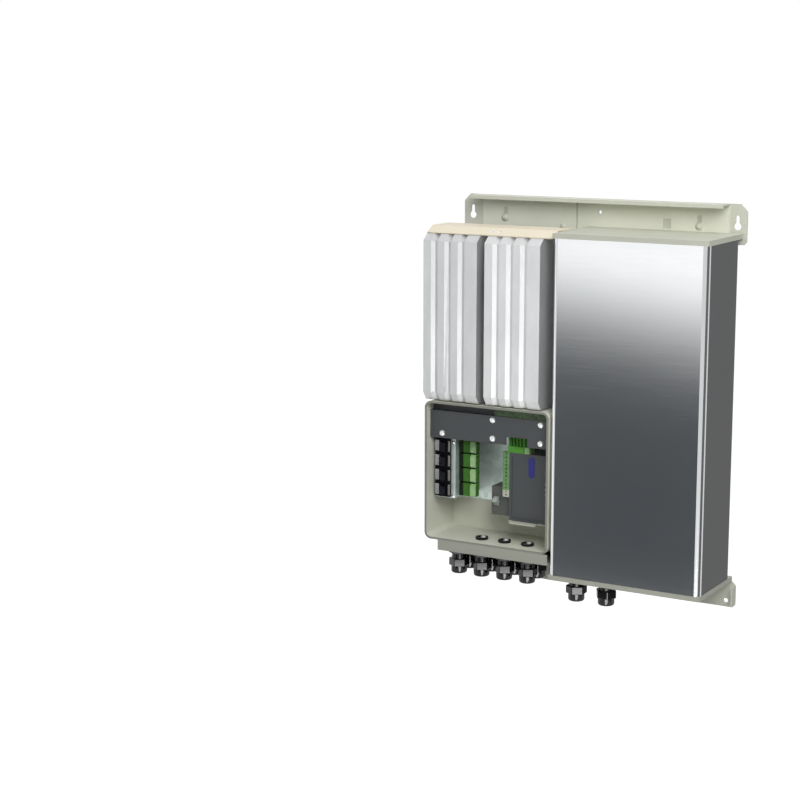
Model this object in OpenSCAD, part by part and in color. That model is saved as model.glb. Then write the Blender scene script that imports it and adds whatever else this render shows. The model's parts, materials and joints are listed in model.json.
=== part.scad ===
// Wall-hung outdoor power cabinet with its hood off: power unit on the left, battery unit on the right.
// Millimetres, +Z up, +Y towards the wall. The origin is on the wall, midway between the lower fixing holes.

/* [Cabinet] */
// Width of both units side by side
cabinet_w = 427; // [400:1:480]
// Depth from the wall to the front of the battery cover
cabinet_d = 129; // [125:1:160]
// Gap between the two units
unit_gap = 2; // [1:0.5:6]
// Thickness of the painted steel sheet
sheet = 2; // [1.5:0.1:2.5]
// Height of the bottom plate's top face above the lower fixing holes
base_z = 37; // [34:1:50]

/* [Wall plate] */
// Width across the ears
plate_w = 437; // [430:1:500]
// Width of the plate between the ears and the lugs
waist_w = 389; // [380:1:394]
// Height of the plate above the battery shelf
plate_rise = 40; // [38:1:60]
// Height of the ears
ear_h = 56; // [40:1:70]
// Chamfer on the ears' upper corners
ear_chamfer = 10; // [2:1:14]
// Height of the lower lugs below the bottom plate's top face
lug_h = 46; // [44:1:60]
// Chamfer on the lugs' upper corners
lug_chamfer = 14; // [4:1:18]
// Depth of the folded sides of the lugs
lug_fold = 16; // [6:1:20]
// Width of the forward lip along the top
lip_w = 388; // [300:1:388]
// Depth of the forward lip, from the wall
lip_d = 31; // [15:1:40]
// Height of the lip's turned-down edge
lip_drop = 5; // [3:0.5:8]
// Distance between the left and right fixing holes
fixing_pitch = 409; // [404:1:412]
// Radius of the keyholes' entry
keyhole_r = 5.2; // [4.5:0.1:6]
// Radius of the keyholes' slot
keyhole_slot_r = 2.6; // [2:0.1:3]
// Height from the keyholes' entry to the end of the slot
keyhole_rise = 12.2; // [10:0.2:14]
// Height of the keyholes' entry above the battery shelf
keyhole_z = 9.3; // [7:0.1:12]
// Radius of the lower fixing holes
lug_hole_r = 3.3; // [2.5:0.1:4]
// Radius of the levelling hole in the middle of the top
level_hole_r = 2.6; // [2:0.1:3]
// Height of the levelling hole above the battery shelf
level_hole_z = 20.8; // [16:0.1:26]
// Distance between the screws that hold the units
hanging_pitch = 300; // [270:1:320]
// Height of the hanging screws above the battery shelf
hanging_z = 7.5; // [7:0.1:9]
// Shank radius of the hanging screws
hanging_r = 3; // [2.5:0.1:3.5]
// Head radius of the hanging screws
hanging_head_r = 5.8; // [5:0.1:6.5]

/* [Battery unit] */
// Width of the battery unit
battery_unit_w = 227; // [215:1:240]
// Height of the cover between the two plates
cover_h = 475; // [440:1:520]
// Distance from the wall to the back of the battery case
case_gap = 19.5; // [15:0.5:24]
// Thickness of the stainless sheet
cover_t = 1.2; // [0.8:0.1:1.6]
// Outer radius of the cover's vertical bends
cover_bend = 8; // [4:0.5:12]
// Width of the cover's returns at the back
cover_return = 10; // [8:1:14]
// Height of the shelf's and the bottom plate's lips
shelf_lip = 7; // [5:0.5:10]
// How far the back sheet reaches past the unit's left side
back_overlap = 21; // [5:1:22]
// Distance from the back sheet's right edge to the unit's right side
back_inset = 20; // [20:1:30]
// Free width on each side of the batteries
battery_side_room = 38; // [30:1:45]
// Free depth in front of the batteries
battery_front_room = 7.5; // [5:0.5:12]
// Free height over each battery
battery_head_room = 18.5; // [12:0.5:24]
// Radius of the battery posts
post_r = 5; // [3:0.5:6]
// Height of the battery posts
post_h = 5; // [3:0.5:6]

/* [Rectifiers] */
// Gap between the two rectifiers
rectifier_gap = 12; // [8:0.5:16]
// Gap between the right rectifier and the battery unit's side of the power unit
rectifier_side_gap = 14; // [10:0.5:20]
// Height of a rectifier under its top sheet
rectifier_h = 248; // [225:1:249]
// Depth of the ribbed housing
rectifier_d = 73; // [60:1:74]
// How far the housings stand proud of the cabinet's front
rectifier_proud = 5; // [0:0.5:8]
// Number of upright grooves in a housing's front
groove_count = 3; // [2:1:4]
// Width of a groove at the front
groove_w = 11; // [6:0.5:13]
// Width of a groove's floor
groove_floor = 1; // [0.5:0.1:2]
// Depth of a groove
groove_d = 3.5; // [2:0.1:5]
// How far the grooves sit left of an even spacing
groove_shift = 3.5; // [0:0.5:4]
// Depth of the bevel at the upper front edge
bevel_d = 11; // [6:0.5:14]
// Height of the bevel at the upper front edge
bevel_h = 9; // [5:0.5:12]
// Depth of the sheet-covered slope behind the bevel
slope_d = 16; // [10:0.5:20]
// Height of the sheet-covered slope behind the bevel
slope_h = 9; // [5:0.5:12]
// Depth of the bevel at the lower front edge
foot_d = 8; // [4:0.5:12]
// Height of the bevel at the lower front edge
foot_h = 12; // [6:0.5:14]
// Narrowing of the base behind the housing, on each side
base_inset = 4; // [1:0.5:8]

/* [Terminal box] */
// Height of the box
box_h = 204; // [190:1:206]
// Depth of the box
box_d = 86; // [84:1:90]
// Height of the box's underside above the bottom plate's top face
box_z = 28; // [24:1:32]
// Wall of the box
box_wall = 2.5; // [2:0.1:3]
// Radius of the box's outer corners
box_corner = 10; // [6:0.5:14]
// Width of the front rim
rim_w = 3; // [2.6:0.1:6]
// Depth of the front rim
rim_d = 4; // [2:0.5:6]
// Height of the gland tray below the box
tray_h = 15; // [13:0.5:20]
// Distance from the box's left side to the tray
tray_inset = 22; // [15:1:26]
// Depth of the gland tray
tray_d = 80; // [79:0.5:84]

/* [Cable glands] */
// Distance between neighbouring glands
gland_pitch = 37; // [34:0.25:40]
// Distance from the box's left side to the first gland
gland_inset = 43; // [41:0.5:46]
// Distance from the cabinet's front to the front row
gland_front = 28; // [22:0.5:30]
// Distance between the front and the rear row
gland_row_pitch = 32; // [30:0.5:34]
// Width across the nut's flats
gland_af = 26.5; // [24:0.5:27]
// Thread radius
gland_r = 10; // [9:0.1:10.5]
// Radius of the cable bore
gland_bore_r = 6.5; // [4:0.1:7]
// Height of the body's hex collar
gland_collar = 7; // [4:0.5:9]
// Height of the dome nut
gland_nut_h = 30; // [28:0.5:32]
// Height of the dome nut's hexagon
nut_hex_h = 11; // [8:0.5:13]
// Height of the locknut
locknut_h = 5; // [3:0.5:6]
// Inside radius of the rings in the box's floor
grommet_r = 6.8; // [6:0.1:7]

/* [Breakers] */
// Distance between neighbouring breakers
breaker_pitch = 21.6; // [20:0.1:22]
// Width of a breaker's front
breaker_w = 24.5; // [20:0.5:25]
// Clearance between neighbouring breakers
breaker_gap = 0.6; // [0.4:0.1:1]
// Distance from the cabinet's front to the breakers' front
breaker_front = 20; // [18:0.5:22]
// Radius of the toggle's drum
drum_r = 6; // [5:0.1:6.5]
// Length of the toggle's drum
drum_l = 13; // [10:0.5:14]
// How far the lever stands out of the drum
lever_l = 7; // [4:0.5:9]
// Tilt of the levers at rest, switched on
lever_tilt = 20; // [10:1:25]
// Radius of the toggle's pivot pins
pivot_r = 1.5; // [1.2:0.1:2]

/* [Control unit] */
// Width of the controller
controller_w = 72; // [60:1:73]
// Height of the controller
controller_h = 100; // [90:1:105]
// Depth of the controller
controller_d = 52; // [45:1:54]
// Width of the cross bracket's face
bracket_h = 40; // [36:1:44]
// Distance from the cabinet's front to the cross bracket
bracket_front = 12; // [8:0.5:14]

/* [Hidden] */
$fn = 48;
// Running clearance of pivots and of pieces that slide in
run = 0.1;
fit = 0.3;
// Overlap that keeps cuts clean
cut = 1;

// Planes from the wall to the front
y_front = -cabinet_d;
y_plate = -sheet;
y_back = -2 * sheet;
y_case = -case_gap;
y_box = y_front + box_d;

// Left and right sides of the two units
x_right = cabinet_w / 2;
x_mid = x_right - battery_unit_w;
x_left = -cabinet_w / 2;
x_power = x_mid - unit_gap;
power_w = x_power - x_left;

// Sizes across the power unit are given for this width and follow the real one
drawn_w = 198;
across = power_w / drawn_w;

// Heights of the battery unit
z_cover = base_z + cover_h;
z_shelf = z_cover + shelf_lip;
z_top = z_shelf + plate_rise;
z_back_top = z_top - sheet - fit;
x_back = [x_mid - back_overlap, x_right - back_inset];

// Wall plate
z_ear = z_top - ear_h;
z_lug = base_z - lug_h;
lug_soft = 4;
waist_overlap = 5;

// Rectifiers stand on the box's upper side
z_box = base_z + box_z;
z_box_top = z_box + box_h;
box_to_rectifier = 2;
rectifier_w = (power_w - rectifier_gap - rectifier_side_gap) / 2;
rectifier_pitch = rectifier_w + rectifier_gap;
groove_pitch = rectifier_w / (groove_count + 1);
z_rectifier = z_box_top + box_to_rectifier;
z_rectifier_top = z_rectifier + rectifier_h;
y_rib = y_front - rectifier_proud;
y_housing = y_rib + rectifier_d;
y_slope = [y_rib + bevel_d, y_rib + bevel_d + slope_d];
z_slope = [z_rectifier_top - slope_h, z_rectifier_top];
z_bevel = z_slope[0] - bevel_h;

// Power frame
frame_inset = 27 * across;
frame_w = power_w - frame_inset - back_overlap;
frame_foot = 14;
frame_end = 4;
frame_z = [z_box + frame_end, z_rectifier_top - frame_end];
x_frame = x_left + frame_inset;

// Sheet over the rectifiers
top_sheet = 1.5;
slope_angle = atan2(slope_h, slope_d);
top_screw_r = 2;
top_screw_head_r = 2.6;
top_screw_head_h = 1.6;
top_screw_inset = 3.5;
top_screw_pitch = 11;
top_screw_x0 = x_left + rectifier_pitch + top_screw_inset;
top_screw_xs = [top_screw_x0, top_screw_x0 + top_screw_pitch];

// Inside of the terminal box
x_in = [x_left + box_wall, x_power - box_wall];
y_in = y_box - box_wall;
z_floor = z_box + box_wall;
z_ceiling = z_box_top - box_wall;
plate_sheet = 1.5;
y_mount = y_in - plate_sheet;
mount_low = 48;
mount_h = 140;
mount_z = [z_box + mount_low, z_box + mount_low + mount_h];
mount_inset = 1.5;

// Cross bracket: its tabs reach the side walls, its left part steps up and its lower edge clears a plug
bracket_sheet = 2;
bracket_tab = 8;
bracket_flange = 12;
bracket_rise = 149;
bracket_step = 10;
y_bracket = y_front + bracket_front;
z_bracket = z_box + bracket_rise;
notch_w = 34 * across;
notch_inset = 38.5 * across;
notch_h = 12;
notch_x = [x_power - notch_inset - notch_w, x_power - notch_inset];
dome_r = 5;
dome_h = 3.2;
dome_shank_r = 2;
dome_low_z = 7;
dome_high_z = 34;
dome_xs = [22 * across, 104 * across, 180 * across];
dome_places = [
    [x_left + dome_xs[0], z_bracket + dome_low_z], [x_left + dome_xs[1], z_bracket + dome_low_z],
    [x_left + dome_xs[2], z_bracket + dome_low_z], [x_left + dome_xs[1], z_bracket + dome_high_z],
    [x_left + dome_xs[2], z_bracket + dome_high_z]
];
board_t = 1.6;
board_inset = [106 * across, 8 * across];
board_low = 22;
board_rise = 10;
board_x = [x_left + board_inset[0], x_power - board_inset[1]];
board_z = [z_bracket + board_low, z_bracket + bracket_h + board_rise];

// Breaker column
breaker_inset = 6.5 * across;
breaker_rise = 60.4;
breaker_face = breaker_w * across;
breaker_x = x_left + breaker_inset;
breaker_z0 = z_box + breaker_rise;
breaker_n = 4;
breaker_h = breaker_pitch - breaker_gap;
y_breaker = y_front + breaker_front;
breaker_neck = 1.2;
breaker_body_d = 54;
drum_sink = 1;
drum_inset = 14 * across;
y_drum = y_breaker + drum_sink;
x_drum = breaker_x + drum_inset;
pivot_l = 1.5;
lever_t = 5;
panel_sheet = 1.5;
panel_gap = 4;
panel_margin = 2;
panel_flange = 7 * across;
panel_cover = 6;
y_panel = y_breaker + panel_gap;
panel_x = [breaker_x - panel_margin, breaker_x + breaker_face + panel_flange];
panel_z = [breaker_z0 - panel_margin, breaker_z0 + breaker_n * breaker_pitch + panel_cover];
panel_head_r = 2.8;
panel_head_h = 1.8;
panel_screw_r = 1.5;
panel_screw_x = panel_x[1] - panel_flange / 2;
panel_screw_zs = [panel_z[0] + panel_head_r, panel_z[1] - panel_cover - 2 * panel_head_r];

// Output terminals beside the breakers
plug_space = 1.2 * across;
plug_w = 27 * across;
plug_x = [panel_x[1] + plug_space, panel_x[1] + plug_space + plug_w];
plug_front = 34;
y_plug = y_front + plug_front;
plug_d = 9.6;
plug_step = 3;
plug_lip_w = 8 * across;
plug_lip_inset = 1.7;
plug_gap = 2.4;
entry_w = 4;
entry_h = 4.5;
entry_depth = 7 * across;
header_w = 7.4 * across;

// Control unit
controller_side = 1;
controller_rise = 35;
controller_face = controller_w * across;
controller_x = [x_in[1] - controller_side - controller_face, x_in[1] - controller_side];
controller_z = z_box + controller_rise;
y_controller = y_mount - controller_d;
controller_corner = 3;
tray_lip = 12;
tray_lip_x = [controller_x[0] + 6 * across, controller_x[0] + 47 * across];
tray_sheet = 1.5;
face_recess = 1;
face_border = 4;
led_r = 1.4;
led_rise = 1;
led_pitch = 7.5;
led_inset = 14 * across;
led_z = 44;
led_count = 3;
signal_w = 10.5 * across;
signal_h = 66;
signal_d = 7.5;
signal_pins = 12;
pin_w = 2.4;
pin_h = 3;
pin_depth = 4;
bus_w = 34 * across;
bus_tall_w = 26 * across;
bus_h = 21;
bus_low_h = 9;
bus_d = 18;
bus_pins = 5;
bus_step = 3;
bus_overhang = 2.5;

// Battery disconnect
switch_w = 30 * across;
switch_h = 42;
switch_d = 44;
switch_gap = 2;
switch_rise = 4;
switch_x = controller_x[0] - switch_gap - switch_w;
switch_z = controller_z + switch_rise;
y_switch = y_mount - switch_d;
switch_drum_r = 7;
switch_drum_l = 7;
switch_lever_l = 2;
switch_lever_t = 6;
switch_tilt = 18;
switch_sink = 1.5;
switch_inset = 8 * across;
switch_drop = 1;
x_switch = switch_x + switch_inset;
z_switch = switch_z + switch_h / 2 - switch_drop;

// Glands: places of both rows and of the two under the battery unit, each with its plate's underside
z_tray = z_box - tray_h;
z_plate = base_z - sheet;
gland_x0 = x_left + gland_inset;
y_row = y_front + gland_front;
gland_end_room = 25;
row_glands = floor((power_w - gland_inset - gland_end_room) / gland_pitch) + 1;
open_ways = [1 : row_glands - 1];
battery_gland_inset = 32;
battery_gland_pitch = 46;
battery_gland_x = [x_mid + battery_gland_inset, x_mid + battery_gland_inset + battery_gland_pitch];
glands = concat(
    [for (i = [0 : row_glands - 1]) [gland_x0 + i * gland_pitch, y_row, z_tray]],
    [for (i = [0 : row_glands - 1]) [gland_x0 + i * gland_pitch, y_row + gland_row_pitch, z_tray]],
    [for (x = battery_gland_x) [x, y_row, z_plate]]
);
gland_thread = sheet + locknut_h + 1;
gland_neck = 12;
gland_neck_r = 8.6;
nut_neck_r = 11;
nut_neck_h = 8;
nut_end_r = 11.8;
nut_rim_r = 8.8;
nut_wall = 4;
grommet_lip = 1.2;
grommet_wall = 1.2;
grommet_rise = 3.5;
grommet_drop = 1.5;
floor_hole_r = grommet_r + grommet_wall;

// Battery rack
rack_sheet = 1.5;
rack_side = 3;
rack_n = 4;
rack_low = 12;
rack_top_room = 3;
rack_z0 = base_z + rack_low;
rack_pitch = (cover_h - rack_low - rack_top_room) / rack_n;
battery_l = battery_unit_w - 2 * battery_side_room;
battery_h = rack_pitch - rack_sheet - battery_head_room;
rack_x = x_mid + battery_side_room;
y_rack_back = y_case - sheet;
battery_back_room = 2;
y_battery = y_front + battery_front_room;
battery_b = y_rack_back - battery_back_room - y_battery;
battery_edge = 3;
lid_h = 14;
lid_step = 1;
post_inset_x = 18;
post_inset_y = 16;
case_screw_r = 2;
case_screw_head_r = 4;
case_screw_head_h = 2.4;
case_screw_l = 8;
case_screw_end = 60;
case_screw_zs = [base_z + case_screw_end, z_cover - case_screw_end];
frame_screw_r = 2.5;
frame_screw_head_r = 4;
frame_screw_head_h = 3;
frame_screw_inset = 42;
frame_screw_drop = 1.5;
frame_screw_x = x_power - frame_screw_inset;
frame_screw_z = z_shelf - frame_screw_drop;
hanging_head_h = 4;
window_inset = 105.5;
window_w = 12;
window_low = 2;
window_h = 14;
window_x = [x_right - window_inset - window_w, x_right - window_inset];
window_z = [z_shelf + window_low, z_shelf + window_low + window_h];

// Colours
paint = [0.76, 0.77, 0.70];
cream = [0.90, 0.86, 0.75];
cast_metal = [0.82, 0.83, 0.84];
steel = [0.70, 0.71, 0.72];
zinc = [0.68, 0.71, 0.73];
dark_paint = [0.30, 0.32, 0.33];
black_plastic = [0.08, 0.08, 0.09];
grey_plastic = [0.62, 0.64, 0.64];
green_plastic = [0.28, 0.52, 0.20];
dark_green = [0.10, 0.22, 0.12];
board_green = [0.16, 0.28, 0.13];
rubber_black = [0.06, 0.06, 0.06];
amber = [0.85, 0.86, 0.80];
battery_grey = [0.20, 0.21, 0.22];
lead = [0.55, 0.56, 0.58];

// Shared shapes

// A box given by its range on each axis
module block(x, y, z) {
    translate([x[0], y[0], z[0]]) cube([x[1] - x[0], y[1] - y[0], z[1] - z[0]]);
}

// A flat outline in X and Z that grows from y_rear towards the front
module panel(y_rear, t) {
    translate([0, y_rear, 0]) rotate([90, 0, 0]) linear_extrude(t) children();
}

// A flat outline in Y and Z drawn along X
module along_x(x0, length) {
    translate([x0, 0, 0]) rotate([90, 0, 90]) linear_extrude(length) children();
}

// A rectangle with round corners, given by its range on each axis
module round_rect(x, z, r) {
    translate([x[0] + r, z[0]]) square([x[1] - x[0] - 2 * r, z[1] - z[0]]);
    translate([x[0], z[0] + r]) square([x[1] - x[0], z[1] - z[0] - 2 * r]);
    for (cx = [x[0] + r, x[1] - r], cz = [z[0] + r, z[1] - r]) translate([cx, cz]) circle(r);
}

// A symmetric outline of half-width w / 2 with upper and lower corners cut off
module chamfered(w, z, upper, lower) {
    h = w / 2;
    polygon([
        [-h, z[0] + lower], [-h + lower, z[0]], [h - lower, z[0]], [h, z[0] + lower],
        [h, z[1] - upper], [h - upper, z[1]], [-h + upper, z[1]], [-h, z[1] - upper]
    ]);
}

// A keyhole with its slot above the entry
module keyhole(entry_r, slot_r, rise) {
    circle(entry_r);
    translate([-slot_r, 0]) square([2 * slot_r, rise]);
    translate([0, rise]) circle(slot_r);
}

// A spherical cap on the XY plane
module dome(r, h) {
    ball = (r * r + h * h) / (2 * h);
    intersection() {
        translate([0, 0, h - ball]) sphere(ball);
        cylinder(r = r, h = h);
    }
}

// A dome-headed screw whose head looks up, with its shank below
module dome_screw(head_r, head_h, shank_r, shank_l) {
    dome(head_r, head_h);
    translate([0, 0, -shank_l]) cylinder(r = shank_r, h = shank_l);
}

// Turns a piece that looks up so that it looks towards the front
module facing_front(x, y, z) {
    translate([x, y, z]) rotate([90, 0, 0]) children();
}

// A hexagon given by its width across flats
module hexagon(af) {
    rotate(30) circle(r = af / 2 / cos(30), $fn = 6);
}

// A lipped sheet tray: a flat top with edges turned down at the front and both sides
module lipped_sheet(x, y, z_up, lip) {
    block(x, y, [z_up - sheet, z_up]);
    block(x, [y[0], y[0] + sheet], [z_up - lip, z_up]);
    for (edge = [[x[0], x[0] + sheet], [x[1] - sheet, x[1]]]) block(edge, y, [z_up - lip, z_up]);
}

// Wall hardware

module wall_plate() color(paint) {
    difference() {
        union() {
            panel(0, sheet) chamfered(plate_w, [z_ear, z_top], ear_chamfer, lug_soft);
            panel(0, sheet) chamfered(plate_w, [z_lug, base_z], lug_chamfer, lug_soft);
            block([-waist_w / 2, waist_w / 2], [-sheet, 0], [base_z - waist_overlap, z_ear + waist_overlap]);
            block([-lip_w / 2, lip_w / 2], [-lip_d, -sheet], [z_top - sheet, z_top]);
            block([-lip_w / 2, lip_w / 2], [-lip_d, -lip_d + sheet], [z_top - lip_drop, z_top]);
            for (edge = [-plate_w / 2, plate_w / 2 - sheet])
                block([edge, edge + sheet], [-lug_fold, 0], [z_lug + lug_soft, base_z - lug_chamfer]);
        }
        for (side = [-1, 1]) {
            panel(cut, sheet + 2 * cut) translate([side * fixing_pitch / 2, z_shelf + keyhole_z])
                keyhole(keyhole_r, keyhole_slot_r, keyhole_rise);
            facing_front(side * fixing_pitch / 2, cut, 0) cylinder(r = lug_hole_r, h = sheet + 2 * cut);
            facing_front(side * hanging_pitch / 2, cut, z_shelf + hanging_z)
                cylinder(r = hanging_r + run, h = sheet + 2 * cut);
        }
        facing_front(0, cut, z_shelf + level_hole_z) cylinder(r = level_hole_r, h = sheet + 2 * cut);
        facing_front(frame_screw_x, cut, frame_screw_z)
            cylinder(r = frame_screw_r + run, h = sheet + 2 * cut);
    }
}

module hanging_screws() color(steel)
    for (side = [-1, 1])
        facing_front(side * hanging_pitch / 2, y_back, z_shelf + hanging_z)
            dome_screw(hanging_head_r, hanging_head_h, hanging_r, -y_back);

module frame_screw() color(steel)
    facing_front(frame_screw_x, y_back, frame_screw_z)
        dome_screw(frame_screw_head_r, frame_screw_head_h, frame_screw_r, -y_back);

// The slot by which a unit's flange hangs on its screw
module hanging_slot(x) {
    panel(y_plate + cut, sheet + 2 * cut) translate([x, z_shelf + hanging_z])
        keyhole(hanging_r + fit, hanging_r + fit, keyhole_rise);
}

// Battery unit

module battery_back() color(paint)
    difference() {
        block(x_back, [y_back, y_plate], [base_z - shelf_lip, z_back_top]);
        block(window_x, [y_back - cut, y_plate + cut], window_z);
        hanging_slot(hanging_pitch / 2);
        facing_front(0, y_plate + cut, z_shelf + level_hole_z)
            cylinder(r = level_hole_r, h = sheet + 2 * cut);
    }

module top_shelf() color(paint)
    lipped_sheet([x_mid, x_right], [y_front, y_back], z_shelf, shelf_lip);

module bottom_plate() color(paint)
    difference() {
        lipped_sheet([x_mid, x_right], [y_front, y_back], base_z, shelf_lip);
        for (x = battery_gland_x) translate([x, y_row, base_z - shelf_lip])
            cylinder(r = gland_r + fit, h = shelf_lip + cut);
    }

module case_back() color(zinc)
    difference() {
        block([x_mid + cover_t + fit, x_right - cover_t - fit], [y_case - sheet, y_case], [base_z, z_cover]);
        case_screw_places() cylinder(r = case_screw_r + run, h = sheet + 2 * cut);
    }

// Puts a piece that looks up at each case screw, looking towards the wall
module case_screw_places()
    for (x = [x_mid + cover_return, x_right - cover_return], z = case_screw_zs)
        translate([x, y_case - sheet - cut, z]) rotate([-90, 0, 0]) children();

// Plan of the cover: an open channel with round front bends and returns at the back
module cover_plan(inset) {
    x = [x_mid + inset, x_right - inset];
    y = [y_front + inset, y_case - sheet - fit];
    r = cover_bend - inset;
    translate([x[0], y[0] + r]) square([x[1] - x[0], y[1] - y[0] - r]);
    translate([x[0] + r, y[0]]) square([x[1] - x[0] - 2 * r, r]);
    for (cx = [x[0] + r, x[1] - r]) translate([cx, y[0] + r]) circle(r);
}

module battery_cover() color(steel)
    translate([0, 0, base_z])
        difference() {
            linear_extrude(cover_h) cover_plan(0);
            translate([0, 0, -cut]) linear_extrude(cover_h + 2 * cut) difference() {
                cover_plan(cover_t);
                for (x = [x_mid, x_right - 2 * cover_return])
                    translate([x, y_case - sheet - fit - cover_t]) square([2 * cover_return, cover_t]);
            }
            translate([0, 0, -base_z]) case_screw_places()
                translate([0, 0, -cover_t - cut]) cylinder(r = case_screw_r + run, h = cover_t + 2 * cut);
        }

module cover_screws() color(steel)
    for (x = [x_mid + cover_return, x_right - cover_return], z = case_screw_zs)
        translate([x, y_case, z]) rotate([-90, 0, 0])
            dome_screw(case_screw_head_r, case_screw_head_h, case_screw_r, case_screw_l);

// Shelves and side strips that carry the batteries, fixed to the case back
module battery_rack() color(zinc) {
    x = [rack_x - rack_side, rack_x + battery_l + rack_side];
    y = [y_battery - fit, y_rack_back];
    for (i = [0 : rack_n - 1]) {
        z = rack_z0 + i * rack_pitch;
        block(x, y, [z, z + rack_sheet]);
    }
    for (edge = [[x[0] - rack_sheet, x[0]], [x[1], x[1] + rack_sheet]])
        block(edge, y, [rack_z0, rack_z0 + rack_n * rack_pitch]);
}

// A sealed block with a lid step and round vertical edges
module battery(i) color(battery_grey) {
    z = rack_z0 + (i - 1) * rack_pitch + rack_sheet;
    x = [rack_x, rack_x + battery_l];
    y = [y_battery, y_battery + battery_b];
    translate([0, 0, z]) linear_extrude(battery_h - lid_h)
        round_rect([x[0] + lid_step, x[1] - lid_step], [y[0] + lid_step, y[1] - lid_step], battery_edge);
    translate([0, 0, z + battery_h - lid_h]) linear_extrude(lid_h) round_rect(x, y, battery_edge);
}

module battery_1() battery(1);
module battery_2() battery(2);
module battery_3() battery(3);
module battery_4() battery(4);

module battery_posts() color(lead)
    for (i = [0 : rack_n - 1], x = [rack_x + post_inset_x, rack_x + battery_l - post_inset_x])
        translate([x, y_battery + post_inset_y, rack_z0 + i * rack_pitch + rack_sheet + battery_h])
            cylinder(r = post_r, h = post_h);

// Power unit

// Hat-shaped frame: a web on the wall plate, two sides and two feet that carry the unit
module power_frame() color(paint)
    difference() {
        union() {
            block([x_frame, x_frame + frame_w], [y_back, y_plate], [frame_z[0], z_back_top]);
            for (edge = [x_frame, x_frame + frame_w - sheet])
                block([edge, edge + sheet], [y_box, y_plate], frame_z);
            block([x_frame - frame_foot, x_frame + sheet], [y_box, y_box + sheet], frame_z);
            block(
                [x_frame + frame_w - sheet, x_frame + frame_w + frame_foot],
                [y_box, y_box + sheet], frame_z
            );
        }
        hanging_slot(-hanging_pitch / 2);
        facing_front(frame_screw_x, y_plate + cut, frame_screw_z)
            cylinder(r = frame_screw_r + run, h = sheet + 2 * cut);
    }

function rectifier_x(i) = x_left + (i - 1) * rectifier_pitch;

// Plain base tray between the housing and the frame
module rectifier_base(i) color(zinc) {
    x = rectifier_x(i);
    block(
        [x + base_inset, x + rectifier_w - base_inset], [y_housing, y_box],
        [z_rectifier + base_inset, z_rectifier_top - base_inset]
    );
}

module rectifier_base_1() rectifier_base(1);
module rectifier_base_2() rectifier_base(2);

// Side view of a housing: bevels at both front edges and a slope under the top sheet
module rectifier_side() {
    polygon([
        [y_rib + foot_d, z_rectifier], [y_rib, z_rectifier + foot_h], [y_rib, z_bevel],
        [y_slope[0], z_slope[0]], [y_slope[1], z_slope[1]], [y_housing, z_slope[1]], [y_housing, z_rectifier]
    ]);
}

// Cross-section of a groove: it narrows from the face to its floor
module groove_section() {
    polygon([
        [-groove_w / 2, -cut], [groove_w / 2, -cut], [groove_w / 2, 0], [groove_floor / 2, groove_d],
        [-groove_floor / 2, groove_d], [-groove_w / 2, 0]
    ]);
}

// A groove along one straight run of the side view, drawn past both ends so that neighbours meet in a mitre
module groove_run(x, from, to) {
    dy = to[0] - from[0];
    dz = to[1] - from[1];
    translate([x, from[0], from[1]]) rotate([-atan2(dy, dz), 0, 0]) translate([0, 0, -groove_d])
        linear_extrude(norm([dy, dz]) + 2 * groove_d) groove_section();
}

module rectifier(i) color(cast_metal) {
    x = rectifier_x(i);
    difference() {
        along_x(x, rectifier_w) rectifier_side();
        for (k = [1 : groove_count]) {
            gx = x + k * groove_pitch - groove_shift;
            groove_run(gx, [y_rib + foot_d, z_rectifier], [y_rib, z_rectifier + foot_h]);
            groove_run(gx, [y_rib, z_rectifier + foot_h], [y_rib, z_bevel]);
            groove_run(gx, [y_rib, z_bevel], [y_slope[0], z_slope[0]]);
        }
    }
}

module rectifier_1() rectifier(1);
module rectifier_2() rectifier(2);

// Side view of the folded sheet that lies on the slopes and the tops of both housings
module top_plate_side() {
    fold = top_sheet * tan(slope_angle / 2);
    polygon([
        [y_slope[0], z_slope[0]], [y_slope[1], z_slope[1]], [y_housing, z_slope[1]],
        [y_housing, z_slope[1] + top_sheet], [y_slope[1] - fold, z_slope[1] + top_sheet],
        [y_slope[0] - top_sheet * sin(slope_angle), z_slope[0] + top_sheet * cos(slope_angle)]
    ]);
}

// Lays a piece that looks up on the middle of the sheet's slope
module top_screw_places()
    for (x = top_screw_xs) translate([x, (y_slope[0] + y_slope[1]) / 2, (z_slope[0] + z_slope[1]) / 2])
        rotate([slope_angle, 0, 0]) children();

module top_plate() color(cream)
    difference() {
        along_x(x_left, power_w) top_plate_side();
        top_screw_places() translate([0, 0, -cut]) cylinder(r = top_screw_r + run, h = top_sheet + 2 * cut);
    }

module top_plate_screws() color(steel)
    top_screw_places() translate([0, 0, top_sheet])
        dome_screw(top_screw_head_r, top_screw_head_h, top_screw_r, top_sheet);

// Painted tray with round corners, a wider rim at the front and openings over the front glands
module terminal_box() color(paint)
    difference() {
        panel(y_box, box_d) round_rect([x_left, x_power], [z_box, z_box_top], box_corner);
        panel(y_in, box_d - box_wall - rim_d)
            round_rect(x_in, [z_floor, z_ceiling], box_corner - box_wall);
        panel(y_in, box_d) round_rect(
            [x_left + rim_w, x_power - rim_w], [z_box + rim_w, z_box_top - rim_w], box_corner - rim_w
        );
        for (i = open_ways) translate([glands[i][0], glands[i][1], z_box - cut])
            cylinder(r = floor_hole_r, h = box_wall + 2 * cut);
    }

// Shallow tray under the box, open on the right: its floor holds the glands and its front is the skirt
module gland_tray() color(paint)
    difference() {
        block([x_left + tray_inset, x_power], [y_front, y_front + tray_d], [z_tray, z_box]);
        block(
            [x_left + tray_inset + sheet, x_power + cut], [y_front + sheet, y_front + tray_d - sheet],
            [z_tray + sheet, z_box + cut]
        );
        for (g = glands) if (g[2] == z_tray) translate([g[0], g[1], z_tray - cut])
            cylinder(r = gland_r + fit, h = sheet + 2 * cut);
    }

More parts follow.
